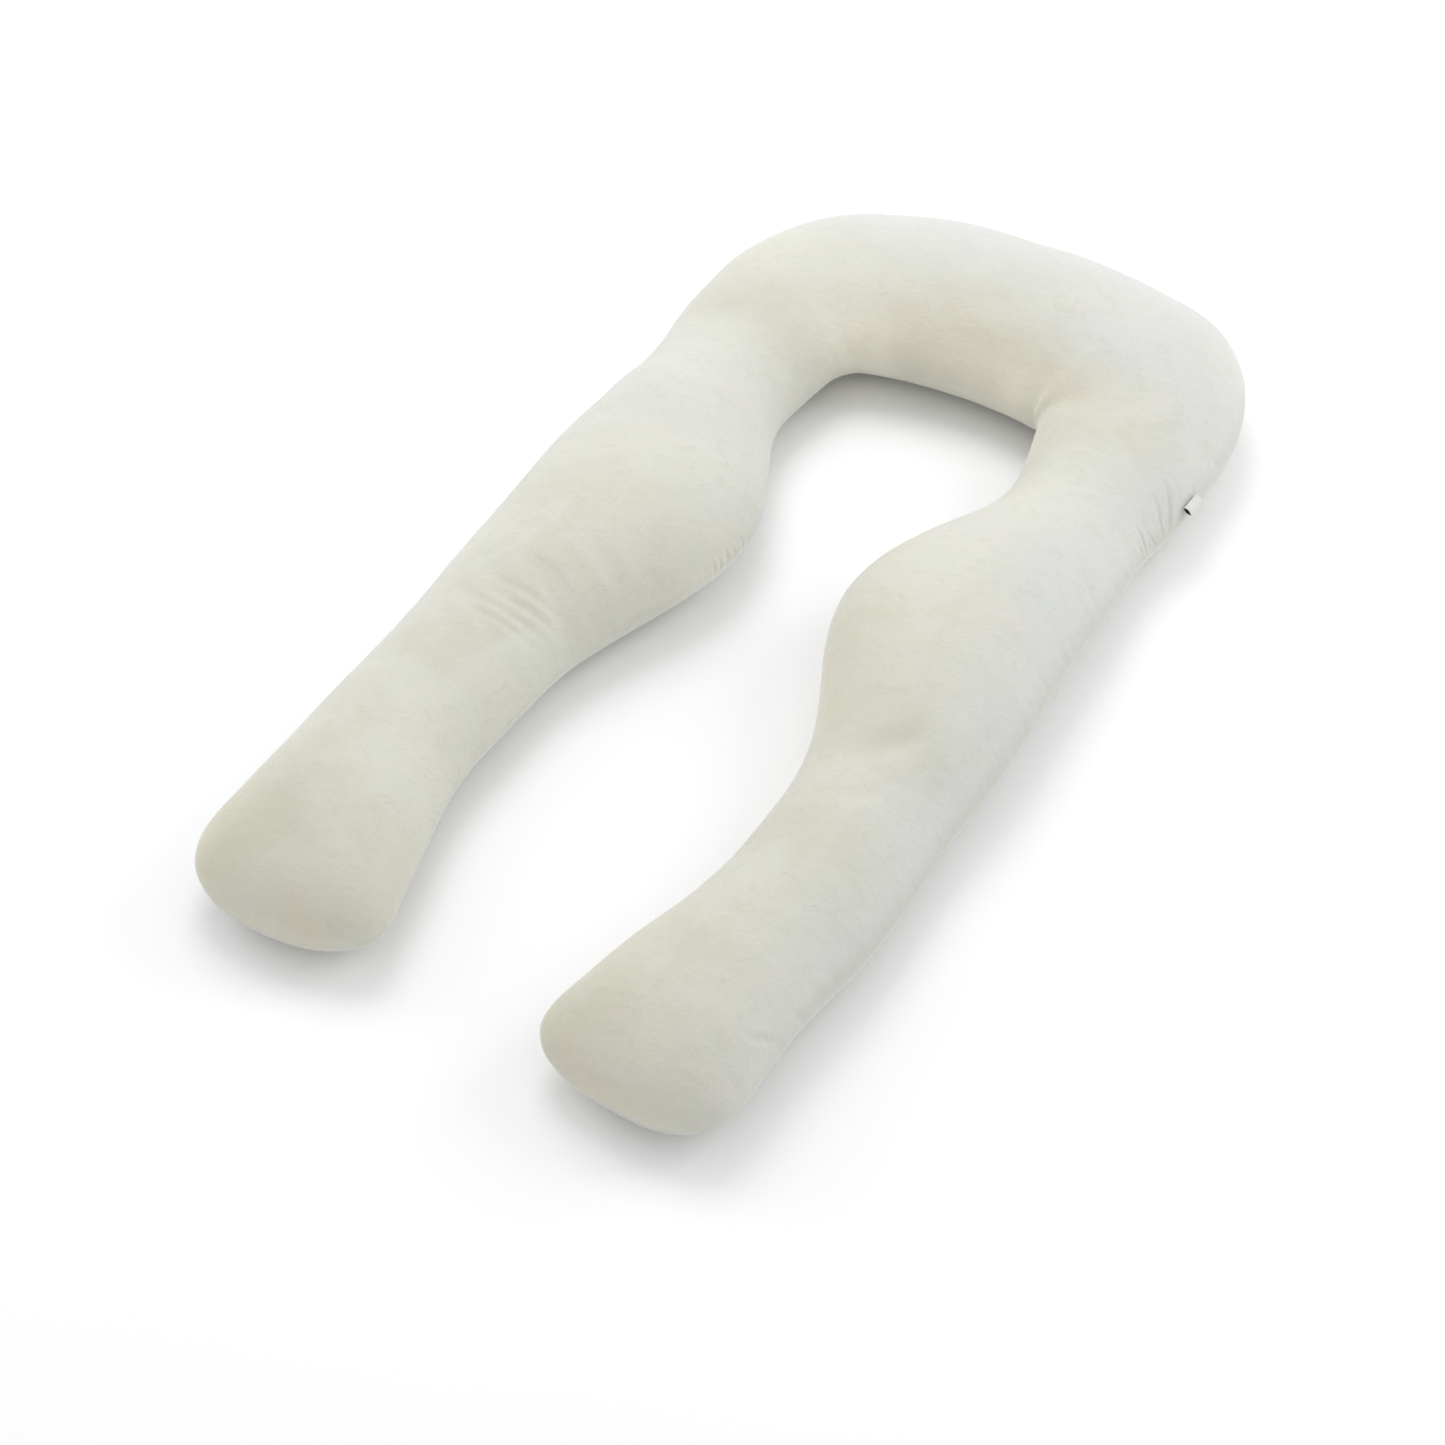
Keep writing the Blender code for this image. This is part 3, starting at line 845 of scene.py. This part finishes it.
def label_seat():
    """Where the label leaves the outer seam: the place, and the ways along, out and up."""
    grid, _ = placed_grid()
    low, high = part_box("loop_label")
    middle_y = (low[1] + high[1]) / 2
    place = OUTER_SEAM_ANGLE / 360.0 * RING_POINTS
    below = int(place)
    lower, upper = grid[len(grid) // 2:, below], grid[len(grid) // 2:, below + 1]
    seam = lower + (upper - lower) * (place - below)
    spot = np.argmin(np.abs(seam[:, 1] - middle_y))
    along = Vector(seam[spot - 2] - seam[spot + 2]).normalized()
    level_out = along.cross(Vector((0.0, 0.0, 1.0))).normalized()
    out = level_out * math.cos(LABEL_DROOP) - Vector((0.0, 0.0, math.sin(LABEL_DROOP)))
    up = out.cross(along).normalized()
    normal = along.cross(Vector(upper[spot] - lower[spot])).normalized()
    lift = LABEL_GAP + LABEL_TAPE * up.dot(normal)
    return Vector(seam[spot]) + normal * lift, along, out, up


def mark_inside(mesh, count, seat, out, up):
    """Keep as an attribute which vertices lie on the loop's inner side, where the material paints
    shade: the thickness gives each of the first vertices a partner, and the nearer of the two to
    the seat is inside."""
    away = coordinates(mesh) - np.array(seat)
    reach = away @ np.array(out) + np.abs(away @ np.array(up))
    inside = np.zeros(len(reach))
    inside[:count] = reach[:count] < reach[count:2 * count]
    inside[count:2 * count] = 1.0 - inside[:count]
    mesh.attributes.new("inside", "FLOAT", "POINT").data.foreach_set("value", inside)


def build_label(cover):
    """The loop label: a soft strip, folded in two so that its loop stands a little open."""
    seat, along, out, up = label_seat()
    line = label_section()
    points, faces = [], []
    for j in range(LABEL_STEPS_ALONG + 1):
        share = 2.0 * j / LABEL_STEPS_ALONG - 1.0
        for reach, rise in line:
            curl = LABEL_EDGE_CURL * share ** 2 * reach / LABEL_REACH
            sag = 1.0 - LABEL_SAG * (1.0 + math.sin(LABEL_WAVE * share))
            place = seat + along * (share * LABEL_WIDTH / 2)
            points.append(place + out * (reach * sag) + up * (rise - curl))
    row = len(line)
    for j in range(LABEL_STEPS_ALONG):
        for i in range(row - 1):
            a = j * row + i
            faces.append((a, a + 1, a + row + 1, a + row))
    mesh = bpy.data.meshes.new("loop_tape")
    mesh.from_pydata([tuple(point) for point in points], [], faces)
    spread = mesh.uv_layers.new(name="tape")
    for loop in mesh.loops:
        j, i = divmod(loop.vertex_index, row)
        spread.data[loop.index].uv = (j / LABEL_STEPS_ALONG, i / (row - 1))
    tape = named_piece("loop_tape", mesh, tape_material())
    thick = tape.modifiers.new("thickness", "SOLIDIFY")
    thick.thickness = LABEL_TAPE
    thick.offset = 0.0
    apply_modifiers(tape)
    mark_inside(tape.data, len(points), seat, out, up)
    tape.data.shade_smooth()
    tape.data.set_sharp_from_angle(angle=LABEL_SHARP_ANGLE)
    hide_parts("loop_label")
    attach(tape, "root")


FLOOR_HALF_SIZE = 8.0


def build_floor():
    """The pale floor under the pillow."""
    mesh = bpy.data.meshes.new("pale_floor")
    size = FLOOR_HALF_SIZE
    corners = [(-size, -size, 0.0), (size, -size, 0.0), (size, size, 0.0), (-size, size, 0.0)]
    mesh.from_pydata(corners, [], [(0, 1, 2, 3)])
    floor = named_piece("pale_floor", mesh, floor_material())


# Studio light: round soft boxes that look at the middle of the floor, and an even surround
Lamp = namedtuple("Lamp", "name azimuth elevation power")
LAMPS = (
    Lamp("left_box", 270, 30, 19.2),
    Lamp("back_box", 45, 30, 33.9),
    Lamp("high_box", 315, 60, 37.1),
)
LAMP_DISTANCE = 3.5
LAMP_SIZE = 2.2
SURROUND = 0.739


def add_area_light(lamp):
    """A soft box seen from the middle at this azimuth, 0 the back, and this elevation."""
    azimuth, elevation = math.radians(lamp.azimuth), math.radians(lamp.elevation)
    level = math.cos(elevation)
    away = Vector((math.sin(azimuth) * level, math.cos(azimuth) * level, math.sin(elevation)))
    light = bpy.data.lights.new(lamp.name, "AREA")
    light.shape = "DISK"
    light.size = LAMP_SIZE
    light.energy = lamp.power
    box = bpy.data.objects.new(lamp.name, light)
    box.location = away * LAMP_DISTANCE
    box.rotation_euler = (-away).to_track_quat("-Z", "Y").to_euler()
    bpy.context.scene.collection.objects.link(box)


def build_light():
    """Soft boxes behind and beside the pillow, and an even white surround."""
    world = bpy.data.worlds.new("studio")
    world.use_nodes = True
    background = world.node_tree.nodes["Background"]
    background.inputs["Color"].default_value = (1.0, 1.0, 1.0, 1.0)
    background.inputs["Strength"].default_value = SURROUND
    bpy.context.scene.world = world
    for lamp in LAMPS:
        add_area_light(lamp)
    bpy.context.scene.view_settings.view_transform = "Standard"
    bpy.context.scene.view_settings.look = "None"
    bpy.context.scene.view_settings.exposure = 0.0


def build_camera():
    """The camera at the photograph's angle."""
    level = math.cos(CAMERA_ELEVATION)
    away = Vector((math.sin(CAMERA_AZIMUTH) * level, -math.cos(CAMERA_AZIMUTH) * level,
                   math.sin(CAMERA_ELEVATION)))
    data = bpy.data.cameras.new("camera")
    data.lens = CAMERA_LENS
    data.sensor_width = 36.0
    camera = bpy.data.objects.new("camera", data)
    camera.location = CAMERA_TARGET + away * CAMERA_DISTANCE
    camera.rotation_euler = (-away).to_track_quat("-Z", "Y").to_euler()
    bpy.context.scene.collection.objects.link(camera)
    bpy.context.scene.camera = camera


def main():
    """Build the looks round the part and finish."""
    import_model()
    build_camera()
    build_label(build_cover())
    build_floor()
    build_light()
    bpy.context.view_layer.update()


main()
